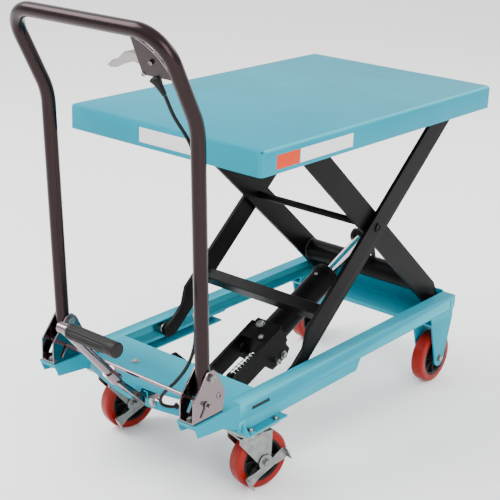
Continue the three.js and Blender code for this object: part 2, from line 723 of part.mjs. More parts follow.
add('ram_rod', ramRod(), 'chrome');
add('cylinder_barrel', cylinderBarrel(), 'blackSteel');
add('pump_body', pumpBody(), 'blackSteel');
add('plunger', plunger(), 'zinc');
add('return_spring', returnSpring(), 'zinc');
add('pedal_arm', pedalArm(), 'chrome');
add('pedal_grip', pedalGrip(), 'rubber');

export default part;
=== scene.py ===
# Looks of the hydraulic scissor lift table: finer meshes, fasteners and procedural materials.
import math

import bmesh
import bpy
from mathutils import Matrix, Vector


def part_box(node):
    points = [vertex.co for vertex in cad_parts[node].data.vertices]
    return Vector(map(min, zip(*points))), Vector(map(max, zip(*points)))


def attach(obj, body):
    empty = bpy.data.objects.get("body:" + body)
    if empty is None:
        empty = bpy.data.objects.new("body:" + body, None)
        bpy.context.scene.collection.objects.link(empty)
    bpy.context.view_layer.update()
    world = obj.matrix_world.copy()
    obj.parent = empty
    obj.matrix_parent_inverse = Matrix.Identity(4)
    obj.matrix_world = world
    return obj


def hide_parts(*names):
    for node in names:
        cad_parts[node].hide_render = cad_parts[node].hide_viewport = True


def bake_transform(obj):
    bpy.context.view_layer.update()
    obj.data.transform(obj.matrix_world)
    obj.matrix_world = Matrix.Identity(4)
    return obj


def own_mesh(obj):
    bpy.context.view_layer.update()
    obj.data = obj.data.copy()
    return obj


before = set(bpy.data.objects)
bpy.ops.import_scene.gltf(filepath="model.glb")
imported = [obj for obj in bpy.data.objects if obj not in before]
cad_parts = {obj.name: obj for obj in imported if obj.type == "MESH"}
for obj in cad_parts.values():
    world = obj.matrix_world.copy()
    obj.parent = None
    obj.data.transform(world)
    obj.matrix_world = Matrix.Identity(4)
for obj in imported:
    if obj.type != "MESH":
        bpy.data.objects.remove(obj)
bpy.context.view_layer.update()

MM = 0.001
top_low, top_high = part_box("platform_top")
CENTRE_Y = (top_low.y + top_high.y) / 2
SIDES = (("right", 1), ("left", -1))

# Places on the table in millimetres: the camera's, then X or (Y, Z) of parts that several pieces share.
CAMERA_PLACE, CAMERA_ANGLES, LENS = (1544, -2023, 1301), (39.13, 19.96, 2.05), 87.48
POST_X = 192
POST_FOOT, POST_BEND, POST_TOP = (-486, 264), (-514, 786), (-604, 955)
LOCK_ROD = (-496.5, 256)
CASTER_X, CASTER_Y = 186, -342
TUBE_RADIUS = 26

# The angle in degrees from which an edge of a CAD copy is rounded and shaded sharp.
CREASE = 34

# How far from a wheel's middle its nuts sit: a caster's outer nut lies outside the brake.
NUT_REACH = {("rear", -1): 26.8, ("rear", 1): 26.8, ("caster", -1): 24.2, ("caster", 1): 27.9}


def at(x, y, z):
    """A point in metres from millimetres measured from the platform's centre and the floor."""
    return Vector((x * MM, y * MM + CENTRE_Y, z * MM))


def middle(node):
    low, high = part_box(node)
    return (low + high) / 2


# ---------- camera, light and floor ----------
def add_camera():
    azimuth, elevation, roll = (math.radians(angle) for angle in CAMERA_ANGLES)
    back = Vector((math.sin(azimuth) * math.cos(elevation), -math.cos(azimuth) * math.cos(elevation),
                   math.sin(elevation)))
    right = Vector((math.cos(azimuth), math.sin(azimuth), 0))
    up = back.cross(right)
    axis_x = right * math.cos(roll) + up * math.sin(roll)
    axis_y = up * math.cos(roll) - right * math.sin(roll)
    data = bpy.data.cameras.new("camera")
    data.sensor_width = 36
    data.lens = LENS
    camera = bpy.data.objects.new("camera", data)
    place = Matrix((axis_x, axis_y, back)).transposed().to_4x4()
    place.translation = at(*CAMERA_PLACE)
    camera.matrix_world = place
    bpy.context.scene.collection.objects.link(camera)
    bpy.context.scene.camera = camera


def add_area_light(name, place, target, size, power):
    data = bpy.data.lights.new(name, "AREA")
    data.shape = "RECTANGLE"
    data.size, data.size_y = size
    data.energy = power
    light = bpy.data.objects.new(name, data)
    light.location = place
    light.rotation_euler = (Vector(target) - Vector(place)).to_track_quat("-Z", "Y").to_euler()
    bpy.context.scene.collection.objects.link(light)


def add_world():
    world = bpy.data.worlds.new("studio")
    bpy.context.scene.world = world
    world.use_nodes = True
    nodes, links = world.node_tree.nodes, world.node_tree.links
    background = nodes["Background"]
    coordinates = nodes.new("ShaderNodeTexCoord")
    split = nodes.new("ShaderNodeSeparateXYZ")
    ramp = nodes.new("ShaderNodeValToRGB")
    links.new(coordinates.outputs["Generated"], split.inputs[0])
    links.new(split.outputs["Z"], ramp.inputs["Fac"])
    ramp.color_ramp.elements[0].color = (0.70, 0.70, 0.70, 1)
    ramp.color_ramp.elements[1].position = 0.5
    ramp.color_ramp.elements[1].color = (1, 1, 1, 1)
    links.new(ramp.outputs["Color"], background.inputs["Color"])
    background.inputs["Strength"].default_value = 1.7


def add_floor():
    bpy.ops.mesh.primitive_plane_add(size=60, location=(0, 0, 0))
    floor = bpy.context.object
    floor.name = "floor"
    material, _, _, shader = new_material("floor_white")
    shader.inputs["Base Color"].default_value = (0.95, 0.95, 0.95, 1)
    shader.inputs["Roughness"].default_value = 0.8
    floor.data.materials.append(material)


# ---------- materials ----------
def new_material(name):
    material = bpy.data.materials.new(name)
    material.use_nodes = True
    nodes, links = material.node_tree.nodes, material.node_tree.links
    return material, nodes, links, nodes["Principled BSDF"]


def noise(nodes, links, scale, detail=4, stretch=None):
    coordinates = nodes.new("ShaderNodeTexCoord")
    texture = nodes.new("ShaderNodeTexNoise")
    texture.inputs["Scale"].default_value = scale
    texture.inputs["Detail"].default_value = detail
    if stretch:
        mapping = nodes.new("ShaderNodeMapping")
        mapping.inputs["Scale"].default_value = stretch
        links.new(coordinates.outputs["Object"], mapping.inputs["Vector"])
        links.new(mapping.outputs["Vector"], texture.inputs["Vector"])
    else:
        links.new(coordinates.outputs["Object"], texture.inputs["Vector"])
    return texture.outputs["Fac"]


def ramp(nodes, links, source, stops):
    node = nodes.new("ShaderNodeValToRGB")
    node.color_ramp.elements[0].position, node.color_ramp.elements[0].color = stops[0]
    node.color_ramp.elements[1].position, node.color_ramp.elements[1].color = stops[1]
    links.new(source, node.inputs["Fac"])
    return node.outputs["Color"]


def bump(nodes, links, shader, source, strength, distance):
    node = nodes.new("ShaderNodeBump")
    node.inputs["Strength"].default_value = strength
    node.inputs["Distance"].default_value = distance
    links.new(source, node.inputs["Height"])
    links.new(node.outputs["Normal"], shader.inputs["Normal"])


def vary_roughness(nodes, links, shader, source, low, high):
    spread = nodes.new("ShaderNodeMapRange")
    spread.inputs["To Min"].default_value = low
    spread.inputs["To Max"].default_value = high
    links.new(source, spread.inputs["Value"])
    links.new(spread.outputs["Result"], shader.inputs["Roughness"])


def painted_edge_highlight(nodes, links, base, edge, start=0.54, end=0.62):
    """The base colour with a lighter colour painted where the surface is sharply convex: a painted
    highlight along the edges.
    """
    geometry = nodes.new("ShaderNodeNewGeometry")
    spread = nodes.new("ShaderNodeMapRange")
    spread.inputs["From Min"].default_value = start
    spread.inputs["From Max"].default_value = end
    mix = nodes.new("ShaderNodeMix")
    mix.data_type = "RGBA"
    links.new(geometry.outputs["Pointiness"], spread.inputs["Value"])
    links.new(spread.outputs["Result"], mix.inputs["Factor"])
    links.new(base, mix.inputs["A"])
    mix.inputs["B"].default_value = edge
    return mix.outputs["Result"]


def box_mask(nodes, links, low, high):
    """1 inside the box between two points of the object's own space, 0 outside it."""
    coordinates = nodes.new("ShaderNodeTexCoord")
    split = nodes.new("ShaderNodeSeparateXYZ")
    links.new(coordinates.outputs["Object"], split.inputs[0])
    inside = None
    for axis in range(3):
        test = nodes.new("ShaderNodeMath")
        test.operation = "COMPARE"
        links.new(split.outputs[axis], test.inputs[0])
        test.inputs[1].default_value = (low[axis] + high[axis]) / 2
        test.inputs[2].default_value = (high[axis] - low[axis]) / 2
        if inside is None:
            inside = test.outputs[0]
            continue
        both = nodes.new("ShaderNodeMath")
        both.operation = "MULTIPLY"
        links.new(inside, both.inputs[0])
        links.new(test.outputs[0], both.inputs[1])
        inside = both.outputs[0]
    return inside


def over(nodes, links, base, mask, tone):
    """The base colour with a flat tone laid over it where the mask is 1."""
    mix = nodes.new("ShaderNodeMix")
    mix.data_type = "RGBA"
    links.new(mask, mix.inputs["Factor"])
    links.new(base, mix.inputs["A"])
    mix.inputs["B"].default_value = tone
    return mix.outputs["Result"]


def paint_material(name="teal_paint", labels=()):
    """Satin paint; each label is a blank panel given by two corners and its tone."""
    material, nodes, links, shader = new_material(name)
    tone = ramp(nodes, links, noise(nodes, links, 5, 3),
                ((0.35, (0.001, 0.205, 0.285, 1)), (0.7, (0.002, 0.232, 0.318, 1))))
    # A lighter teal painted along sharp edges: a painted highlight.
    painted = painted_edge_highlight(nodes, links, tone, (0.04, 0.36, 0.44, 1))
    for low, high, label_tone in labels:
        painted = over(nodes, links, painted, box_mask(nodes, links, low, high), label_tone)
    links.new(painted, shader.inputs["Base Color"])
    vary_roughness(nodes, links, shader, noise(nodes, links, 14, 3), 0.38, 0.48)
    bump(nodes, links, shader, noise(nodes, links, 900, 2), 0.05, 0.0004)
    shader.inputs["Specular IOR Level"].default_value = 0.09
    return material


def black_steel_material():
    material, nodes, links, shader = new_material("black_enamel")
    tone = ramp(nodes, links, noise(nodes, links, 9, 4),
                ((0.3, (0.0020, 0.0016, 0.0016, 1)), (0.75, (0.0042, 0.0034, 0.0034, 1))))
    # A lighter grey painted along sharp edges: a painted highlight on the black enamel.
    enamel = painted_edge_highlight(nodes, links, tone, (0.075, 0.068, 0.068, 1), 0.55, 0.66)
    links.new(enamel, shader.inputs["Base Color"])
    vary_roughness(nodes, links, shader, noise(nodes, links, 26, 4), 0.32, 0.46)
    bump(nodes, links, shader, noise(nodes, links, 700, 2), 0.06, 0.0004)
    shader.inputs["Specular IOR Level"].default_value = 0.07
    return material


# The default tone is far darker than bare chrome: painted shade standing in for the dark surroundings
# that polished metal reflects.
def chrome_material(name="chrome_painted_dark_reflection", tone=(0.21, 0.165, 0.175, 1), gloss=(0.10, 0.17)):
    material, nodes, links, shader = new_material(name)
    shader.inputs["Metallic"].default_value = 1.0
    shader.inputs["Base Color"].default_value = tone
    vary_roughness(nodes, links, shader, noise(nodes, links, 30, 4), *gloss)
    bump(nodes, links, shader, noise(nodes, links, 160, 3, (1, 1, 0.25)), 0.02, 0.0004)
    return material


def zinc_material():
    material, nodes, links, shader = new_material("zinc_plate")
    shader.inputs["Metallic"].default_value = 1.0
    tone = ramp(nodes, links, noise(nodes, links, 60, 5),
                ((0.35, (0.20, 0.212, 0.207, 1)), (0.7, (0.31, 0.32, 0.31, 1))))
    links.new(tone, shader.inputs["Base Color"])
    vary_roughness(nodes, links, shader, noise(nodes, links, 90, 4), 0.24, 0.40)
    bump(nodes, links, shader, noise(nodes, links, 420, 3, (1, 6, 1)), 0.08, 0.0004)
    return material


def polyurethane_material():
    material, nodes, links, shader = new_material("red_polyurethane")
    tone = ramp(nodes, links, noise(nodes, links, 22, 4),
                ((0.3, (0.17, 0.004, 0.002, 1)), (0.75, (0.25, 0.007, 0.004, 1))))
    links.new(tone, shader.inputs["Base Color"])
    vary_roughness(nodes, links, shader, noise(nodes, links, 70, 4), 0.28, 0.42)
    bump(nodes, links, shader, noise(nodes, links, 500, 3), 0.07, 0.0004)
    shader.inputs["Specular IOR Level"].default_value = 0.2
    shader.inputs["Subsurface Weight"].default_value = 0.12
    shader.inputs["Subsurface Radius"].default_value = (0.006, 0.0015, 0.001)
    return material


def plastic_material():
    material, nodes, links, shader = new_material("black_moulding")
    tone = ramp(nodes, links, noise(nodes, links, 40, 3),
                ((0.3, (0.004, 0.004, 0.004, 1)), (0.75, (0.008, 0.008, 0.008, 1))))
    links.new(tone, shader.inputs["Base Color"])
    vary_roughness(nodes, links, shader, noise(nodes, links, 60, 3), 0.38, 0.52)
    bump(nodes, links, shader, noise(nodes, links, 1100, 2), 0.12, 0.0004)
    shader.inputs["Specular IOR Level"].default_value = 0.2
    return material


def rubber_material():
    material, nodes, links, shader = new_material("black_rubber")
    tone = ramp(nodes, links, noise(nodes, links, 50, 4),
                ((0.3, (0.004, 0.0036, 0.0034, 1)), (0.75, (0.009, 0.008, 0.0075, 1))))
    links.new(tone, shader.inputs["Base Color"])
    vary_roughness(nodes, links, shader, noise(nodes, links, 80, 3), 0.42, 0.60)
    bump(nodes, links, shader, noise(nodes, links, 1400, 3), 0.10, 0.0003)
    shader.inputs["Specular IOR Level"].default_value = 0.2
    return material


# ---------- mesh helpers ----------
def new_piece(name, bm, body, material, smooth=40, nodes=()):
    """Makes an object from a bmesh; edges under the smooth angle, in degrees, shade smooth.

    A piece that is blended between bodies rides on none, so its body is None.
    """
    mesh = bpy.data.meshes.new(name)
    bmesh.ops.recalc_face_normals(bm, faces=bm.faces)
    bm.to_mesh(mesh)
    bm.free()
    piece = bpy.data.objects.new(name, mesh)
    bpy.context.scene.collection.objects.link(piece)
    mesh.materials.append(material)
    mesh.shade_smooth()
    mesh.set_sharp_from_angle(angle=math.radians(smooth))
    if body:
        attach(piece, body)
    if nodes:
        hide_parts(*nodes)
    return piece


def facing(origin, axis):
    """A placement whose Z runs along the axis from the origin."""
    place = Vector(axis).normalized().to_track_quat("Z", "Y").to_matrix().to_4x4()
    place.translation = Vector(origin)
    return place


def revolved(bm, profile, place, segments):
    """Turns [radius, height] millimetre points about the placement's Z."""
    rings = []
    for radius, height in profile:
        if radius < 1e-6:
            rings.append([bm.verts.new(place @ Vector((0, 0, height * MM)))])
            continue
        ring = []
        for i in range(segments):
            angle = 2 * math.pi * i / segments
            ring.append(bm.verts.new(place @ Vector((radius * MM * math.cos(angle),
                                                     radius * MM * math.sin(angle), height * MM))))
        rings.append(ring)
    for low, high in zip(rings, rings[1:]):
        bridge(bm, low, high, segments)
    if len(rings[0]) > 1 and len(rings[-1]) > 1:
        bridge(bm, rings[-1], rings[0], segments)


def bridge(bm, low, high, segments):
    for i in range(segments):
        j = (i + 1) % segments
        if len(low) == 1:
            bm.faces.new((low[0], high[i], high[j]))
        elif len(high) == 1:
            bm.faces.new((low[i], high[0], low[j]))
        else:
            bm.faces.new((low[i], high[i], high[j], low[j]))


def rounded(profile, radius=0.8, steps=3):
    """Rounds the inner corners of an open [radius, height] profile."""
    points = [Vector(point) for point in profile]
    result = [points[0]]
    for before, corner, after in zip(points, points[1:], points[2:]):
        back, ahead = before - corner, after - corner
        reach = min(radius, back.length / 2.2, ahead.length / 2.2)
        enter = corner + back.normalized() * reach
        leave = corner + ahead.normalized() * reach
        for i in range(steps + 1):
            t = i / steps
            result.append(enter * (1 - t) ** 2 + corner * 2 * t * (1 - t) + leave * t * t)
    result.append(points[-1])
    return [(point.x, point.y) for point in result]


def turned_piece(name, profile, place, body, material, nodes=(), segments=64, round_by=0.8):
    bm = bmesh.new()
    revolved(bm, rounded(profile, round_by), place, segments)
    return new_piece(name, bm, body, material, 35, nodes)


def softened(node, body, material, width=0.8, segments=2):
    """A copy of a CAD node with rounded edges and smooth shading, standing in for the node."""
    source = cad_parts[node]
    bm = bmesh.new()
    bm.from_mesh(source.data)
    bmesh.ops.remove_doubles(bm, verts=bm.verts, dist=1e-6)
    bmesh.ops.dissolve_limit(bm, angle_limit=math.radians(1), verts=bm.verts, edges=bm.edges)
    piece = new_piece(f"{node}_finish", bm, body, material, CREASE, (node,))
    bevel = piece.modifiers.new("edges", "BEVEL")
    bevel.width = width * MM
    bevel.segments = segments
    bevel.limit_method = "ANGLE"
    bevel.angle_limit = math.radians(CREASE)
    bevel.use_clamp_overlap = True
    bevel.harden_normals = True
    return piece


def swept(bm, points, radius, sides):
    """A closed tube along points that are already in metres, with a steady section."""
    rings = []
    normal = None
    for i, point in enumerate(points):
        ahead = points[min(i + 1, len(points) - 1)] - points[max(i - 1, 0)]
        ahead.normalize()
        if normal is None:
            normal = ahead.orthogonal().normalized()
        normal = (normal - ahead * normal.dot(ahead)).normalized()
        other = ahead.cross(normal)
        ring = []
        for k in range(sides):
            angle = 2 * math.pi * k / sides
            offset = normal * math.cos(angle) + other * math.sin(angle)
            ring.append(bm.verts.new(point + offset * radius))
        rings.append(ring)
    for low, high in zip(rings, rings[1:]):
        bridge(bm, low, high, sides)
    bm.faces.new(rings[0])
    bm.faces.new(rings[-1])


def filleted(corners, radii, steps=14, run=8):
    """Straight runs between corners, each inner corner rounded as an arc of its radius."""
    points = []
    last = corners[0]
    for before, corner, after, radius in zip(corners, corners[1:], corners[2:], radii):
        back, ahead = (before - corner).normalized(), (after - corner).normalized()
        half = back.angle(ahead) / 2
        reach = radius / math.tan(half)
        enter = corner + back * reach
        centre = corner + (back + ahead).normalized() * (radius / math.sin(half))
        points += [last.lerp(enter, i / run) for i in range(run)]
        start = enter - centre
        finish = corner + ahead * reach - centre
        turn = start.angle(finish)
        for i in range(steps + 1):
            t = i / steps
            weight = (math.sin((1 - t) * turn), math.sin(t * turn))
            points.append(centre + (start * weight[0] + finish * weight[1]) / math.sin(turn))
        last = points.pop()
    points += [last.lerp(corners[-1], i / run) for i in range(run + 1)]
    return points


def smooth_curve(knots, steps=8):
    """A Catmull-Rom curve through the knots."""
    padded = [knots[0] * 2 - knots[1]] + knots + [knots[-1] * 2 - knots[-2]]
    points = []
    for a, b, c, d in zip(padded, padded[1:], padded[2:], padded[3:]):
        for i in range(steps):
            t = i / steps
            points.append(0.5 * ((2 * b) + (c - a) * t + (2 * a - 5 * b + 4 * c - d) * t * t
                                 + (3 * b - a - 3 * c + d) * t ** 3))
    points.append(knots[-1])
    return points


# ---------- shared pieces ----------
def hex_bolt(name, point, axis, body, size=6.5, washer=9.5, height=5):
    """A hexagon head with a chamfered crown on a round washer."""
    bm = bmesh.new()
    place = facing(point, axis)
    revolved(bm, [(0, 0), (washer, 0), (washer, 1.1), (0, 1.1)], place, 32)
    head = [(0, 1.0), (size, 1.0), (size, height - 0.9), (size * 0.86, height), (0, height)]
    revolved(bm, head, place, 6)
    tip = [(0, height - 0.2), (size * 0.5, height - 0.2), (size * 0.42, height + 0.5),
           (0, height + 0.5)]
    revolved(bm, tip, place, 20)
    return new_piece(name, bm, body, materials["zinc"], 30)


def round_bolt(name, point, axis, body, size=6, height=3.2, look="zinc"):
    """A domed head with a round socket."""
    bm = bmesh.new()
    place = facing(point, axis)
    dome = [(0, 0), (size, 0), (size, height * 0.3), (size * 0.86, height * 0.75),
            (size * 0.6, height), (size * 0.42, height)]
    socket = [(size * 0.4, height - 1.4), (0, height - 1.4)]
    revolved(bm, dome + socket, place, 30)
    return new_piece(name, bm, body, materials[look], 40)


def wheel_pieces(label, body, node_tyre, node_hub, centre, axis):
    """Tread with rounded shoulders, a spoked hub, a bearing cup and the axle's nuts."""
    place = facing(centre, axis)
    tread = [(46.8, -15.6), (57.5, -16), (61.8, -14.2), (63.3, -10), (63.5, 0), (63.3, 10), (61.8, 14.2),
             (57.5, 16), (46.8, 15.6)]
    turned_piece(f"tread_{label}", tread, place, body, materials["polyurethane"],
                 (node_tyre,), 120, 1.6)
    bm = bmesh.new()
    rim = [(46.7, -15), (46.7, 15), (42, 15), (40.5, 13), (39, 4), (18, 3), (16.5, 17), (10.5, 17.5),
           (10, 15), (10, -15), (10.5, -17.5), (16.5, -17), (18, -3), (39, -4), (40.5, -13), (42, -15)]
    revolved(bm, rim, place, 96)
    for i in range(8):
        rib(bm, place, 2 * math.pi * i / 8)
    new_piece(f"hub_{label}", bm, body, materials["plastic"], 30, (node_hub,))
    turned_piece(f"bearing_{label}", [(0, -18.2), (9.8, -18.2), (9.8, 18.2), (0, 18.2)], place, body,
                 materials["zinc"], segments=40, round_by=0.8)
    turned_piece(f"axle_{label}", [(0, -28), (5.6, -28), (5.6, 28), (0, 28)], place, body,
                 materials["zinc"], segments=32, round_by=0.6)
    along = Vector(axis).normalized()
    kind = body.split("_")[0]
    for end, place_name in ((-1, "inner"), (1, "outer")):
        face = Vector(centre) + along * end * NUT_REACH[kind, end] * MM
        hex_bolt(f"axle_nut_{label}_{place_name}", face, Vector(axis) * end, body, 7.5, 9.5, 6.5)


def rib(bm, place, angle):
    """A spoke rib between the hub's boss and its rim."""
    turn = place @ Matrix.Rotation(angle, 4, "Z")
    shape = [(15, 3.2), (15, 13.5), (27, 9.5), (40, 11.5), (40, 3.2)]
    for side in (1, -1):
        faces = []
        for across in (-1.4, 1.4):
            corners = [Vector((x * MM, across * MM, side * z * MM)) for x, z in shape]
            faces.append([bm.verts.new(turn @ corner) for corner in corners])
        bm.faces.new(faces[0])
        bm.faces.new(faces[1])
        for i in range(len(shape)):
            j = (i + 1) % len(shape)
            bm.faces.new((faces[0][i], faces[0][j], faces[1][j], faces[1][i]))


WHITE, ORANGE = (0.66, 0.67, 0.67, 1), (0.52, 0.045, 0.012, 1)
PLATFORM_LABELS = (
    (at(-54, -409, 693), at(79, -406, 722), WHITE),
    (at(248.5, -365, 692), at(251.5, -297, 719), ORANGE),
    (at(248.5, -295, 692), at(251.5, -128, 719), WHITE),
)

materials = {
    "paint": paint_material(),
    "platform_paint": paint_material("platform_paint", PLATFORM_LABELS),
    "black": black_steel_material(),
    "chrome": chrome_material(),
    # The tube's near-black tone is painted shade: the dark surroundings it reflects, painted into its
    # colour.
    "tube_chrome": chrome_material("tube_chrome", (0.028, 0.019, 0.020, 1), (0.20, 0.28)),
    "rod_chrome": chrome_material("bright_chrome", (0.68, 0.68, 0.70, 1)),
    "lever": chrome_material("polished_lever", (0.27, 0.225, 0.23, 1)),
    "zinc": zinc_material(),
    "polyurethane": polyurethane_material(),
    "plastic": plastic_material(),
    "rubber": rubber_material(),
}

add_camera()
add_world()
add_floor()


# ---------- base frame ----------
def frame_plates():
    for name, _ in SIDES:
        softened(f"side_rail_{name}", "base", materials["paint"], 1.1, 3)
        softened(f"rail_stiffener_{name}", "base", materials["paint"], 1.0)
        softened(f"handle_horn_{name}", "base", materials["paint"], 1.2, 3)
        softened(f"caster_mount_{name}", "base", materials["paint"], 0.9)
        softened(f"rear_fork_{name}", "base", materials["paint"], 0.9)
    softened("front_deck", "base", materials["paint"], 1.0)
    softened("rear_cross_plate", "base", materials["paint"], 0.9)
    softened("cylinder_hanger", "base", materials["black"], 0.8)


def deck_fittings():
    hex_bolt("deck_bolt_top", at(-72, -399, 219), (0, 0, 1), "base", 6, 9, 4.5)
    hex_bolt("deck_bolt_front", at(36, -459.4, 185), (0, -1, 0), "base", 6, 9.5, 4.5)
    grommet = [(4.2, -1.5), (6.6, -1.5), (7.2, 0), (6.6, 1.8), (4.2, 1.8)]
    turned_piece("cable_grommet", grommet, facing(at(97, -455, 197.3), (0.35, 0.93, -0.1)), "base",
                 materials["rubber"], segments=28, round_by=0.4)
    bm = bmesh.new()
    edge = [at(19, -456, z) for z in (173, 180, 188, 194)]
    edge += [at(16, -455.5, 199.4), at(8, -455.2, 200.6)]
    swept(bm, smooth_curve(edge, 5), 1.5 * MM, 12)
    new_piece("pedal_notch_lip", bm, "base", materials["paint"])


def caster_mount_fittings(name, side):
    for x, y in ((221, -375), (221, -297), (158, -375), (158, -297)):
        top = 159 if (x, y) == (221, -375) else 155
        hex_bolt(f"caster_bolt_{name}_{x}_{-y}", at(side * x, y, top), (0, 0, 1), "base", 5.4, 7.6, 4)


def rail_end_weld(name, side):
    """A weld bead where the horn laps the rail's front end."""
    bm = bmesh.new()
    x = side * 213.4
    swept(bm, [at(x, -402.2 + 0.4 * math.sin(i * 1.9), 182 + 2.2 * i) for i in range(17)], 1.3 * MM, 10)
    new_piece(f"horn_weld_{name}", bm, "base", materials["paint"])


def slot_plate(name, side):
    """The dark plate at the bottom of the recess near the rail's front end."""
    bm = bmesh.new()
    low, high = at(side * 210.1, -360.6, 194.4), at(side * 210.5, -306.4, 201.6)
    bmesh.ops.create_cube(bm, size=1, matrix=Matrix.LocRotScale((low + high) / 2, None, high - low))
    new_piece(f"slot_plate_{name}", bm, "base", materials["plastic"], 30)


def rear_wheel(name, side):
    centre = middle(f"rear_tyre_{name}")
    wheel_pieces(f"rear_{name}", f"rear_wheel_{name}", f"rear_tyre_{name}", f"rear_hub_{name}", centre,
                 (side, 0, 0))


# ---------- casters ----------
TURN = math.radians(14)
ROLL_AXIS = Vector((math.cos(TURN), -math.sin(TURN), 0))


def in_caster(side, x, y, z):
    """A point given in a caster's own frame: X along its axle, Y along its trail."""
    pivot = at(side * CASTER_X, CASTER_Y, 0)
    turned = Matrix.Rotation(-TURN, 3, "Z") @ Vector((x, y, z))
    return pivot + turned * MM


def caster(name, side):
    softened(f"caster_plate_{name}", "base", materials["zinc"], 0.8)
    softened(f"caster_fork_{name}", f"caster_{name}", materials["zinc"], 1.2, 3)
    softened(f"caster_brake_{name}", f"brake_{name}", materials["zinc"], 0.9)
    race = [(29.5, -4), (31.5, -3), (32.4, 0), (31.5, 3), (27.5, 4.6), (27.5, -4)]
    turned_piece(f"swivel_race_{name}", race, facing(at(side * CASTER_X, CASTER_Y, 132), (0, 0, 1)),
                 f"caster_{name}", materials["zinc"], segments=72, round_by=0.9)
    wheel_pieces(f"caster_{name}", f"caster_wheel_{name}", f"caster_tyre_{name}", f"caster_hub_{name}",
                 in_caster(side, 0, 30, 63.5), ROLL_AXIS)
    for face in (-1, 1):
        embossed_leg(name, side, face)


def embossed_leg(name, side, face):
    """The raised V-shaped stiffening pressed into each fork leg."""
    bm = bmesh.new()
    outline = [(-22, 124), (36, 124), (38, 84), (33, 76), (25, 76), (20, 82)]
    inner = [(-14, 121), (31, 121), (34, 88), (31, 80), (27, 80), (23, 86)]
    base = [bm.verts.new(in_caster(side, face * 23.9, y, z)) for y, z in outline]
    crown = [bm.verts.new(in_caster(side, face * 25.3, y, z)) for y, z in inner]
    bm.faces.new(crown)
    bm.faces.new(base)
    for i in range(len(base)):
        j = (i + 1) % len(base)
        bm.faces.new((base[i], base[j], crown[j], crown[i]))
    piece = new_piece(f"leg_emboss_{name}_{'outer' if face > 0 else 'inner'}", bm, f"caster_{name}",
                      materials["zinc"], 60)
    bevel = piece.modifiers.new("edges", "BEVEL")
    bevel.width = 0.6 * MM
    bevel.segments = 3


# ---------- push handle ----------
def push_handle():
    left = [at(-POST_X, *place) for place in (POST_FOOT, POST_BEND, POST_TOP)]
    right = [at(POST_X, *place) for place in (POST_TOP, POST_BEND, POST_FOOT)]
    bm = bmesh.new()
    swept(bm, filleted(left + right, [0.12, 0.062, 0.062, 0.12]), 13.95 * MM, 40)
    new_piece("handle_tube", bm, "handle", materials["tube_chrome"], 50, ("push_handle",))


def handle_brackets(name, side):
    softened(f"handle_bracket_{name}", "base", materials["chrome"], 0.9, 3)
    softened(f"handle_bolt_{name}", "base", materials["zinc"], 0.4)
    round_bolt(f"stop_bolt_{name}", at(side * 210, -460, 262), (side, 0, 0), "base", 6.5, 2.4, "chrome")
    round_bolt(f"stop_bolt_in_{name}", at(side * 174, -460, 262), (-side, 0, 0), "base", 6.5, 2.4,
               "chrome")
    round_bolt(f"pivot_cap_{name}", at(side * 216, -484, 306), (side, 0, 0), "base", 5, 2.2)
    hex_bolt(f"foot_bolt_{name}", at(side * POST_X, -519, 227), (0, 0, 1), "base", 5.5, 8, 4.5)
    hex_bolt(f"foot_bolt_rear_{name}", at(side * POST_X, -459, 227), (0, 0, 1), "base", 5.5, 8, 4.5)
    turned_piece(f"foot_stud_{name}", [(0, 0), (3.4, 0), (3.4, 12), (0, 12)],
                 facing(at(side * POST_X, -519, 207), (0, 0, 1)), "base", materials["zinc"],
                 segments=24, round_by=0.4)


def lock_rod():
    place = facing(at(-222, *LOCK_ROD), (1, 0, 0))
    turned_piece("lock_rod_finish", [(0, 0), (3.9, 0), (3.9, 444), (0, 444)], place, "lock_rod",
                 materials["chrome"], ("lock_rod",), 28, 1.2)
    collar = [(4.1, 0), (6.4, 0), (6.4, 3), (4.1, 3)]
    for name, side in SIDES:
        turned_piece(f"lock_collar_{name}", collar, facing(at(side * 211, *LOCK_ROD), (side, 0, 0)),
                     "lock_rod", materials["zinc"], segments=28, round_by=0.5)


SLOPE = (at(0, *POST_TOP) - at(0, *POST_BEND)).normalized()


def slanted(u, v, w=0.0):
    """A point of the handle's slanted upper part: across, up the slope, towards the platform."""
    return at(u, *POST_BEND) + SLOPE * (v * MM) + Vector((0, SLOPE.z, -SLOPE.y)) * (w * MM)


def lever_group():
    softened("lever_bracket", "handle", materials["tube_chrome"], 0.8)
    softened("release_lever", "release_lever", materials["lever"], 2.6, 4)
    normal = Vector((0, -SLOPE.z, SLOPE.y))
    round_bolt("lever_rivet", slanted(145, 131.5, -8), normal, "handle", 4.4, 2.4, "chrome")
    bm = bmesh.new()
    flange = [slanted(u, v, -3.5) for u, v in ((127, 176.6), (139, 170.4), (159, 152.4), (171, 132.4),
                                               (177, 113), (177.2, 100))]
    swept(bm, smooth_curve(flange, 6), 2.1 * MM, 12)
    new_piece("lever_bracket_flange", bm, "handle", materials["chrome"])
    bm = bmesh.new()
    swept(bm, [slanted(160, 153, -3.5), slanted(166, 160, -2.5), slanted(173, 167, -1)], 2.6 * MM, 14)
    new_piece("lever_bracket_strut", bm, "handle", materials["chrome"])
    round_bolt("lever_stop", slanted(112, 100, -5.4), normal, "handle", 4.4, 2.4)


def cable_boot():
    profile = [(0, 0), (11, 0), (11.2, 2.5), (9.6, 4), (9.8, 6), (8.4, 8), (8.4, 10), (7.4, 13),
               (6.4, 19), (5.4, 27), (4.6, 34), (0, 34)]
    start = slanted(136, 95.5, -3.5)
    turned_piece("lever_boot", profile, facing(start, slanted(143.5, 60.6, -3.5) - start), "handle",
                 materials["rubber"], ("cable_boot",), 40, 0.7)


CABLE_ROUTE = [
    (152, -531, 800), (165, -514, 765), (170, -503, 738), (172, -496, 690), (173, -493, 600),
    (173, -492, 500), (173, -489, 420), (168, -485, 360), (150, -483, 312), (122, -484, 270),
    (98, -485, 243), (84, -486, 222), (84, -482, 207), (92, -468, 199), (100, -452, 197),
]


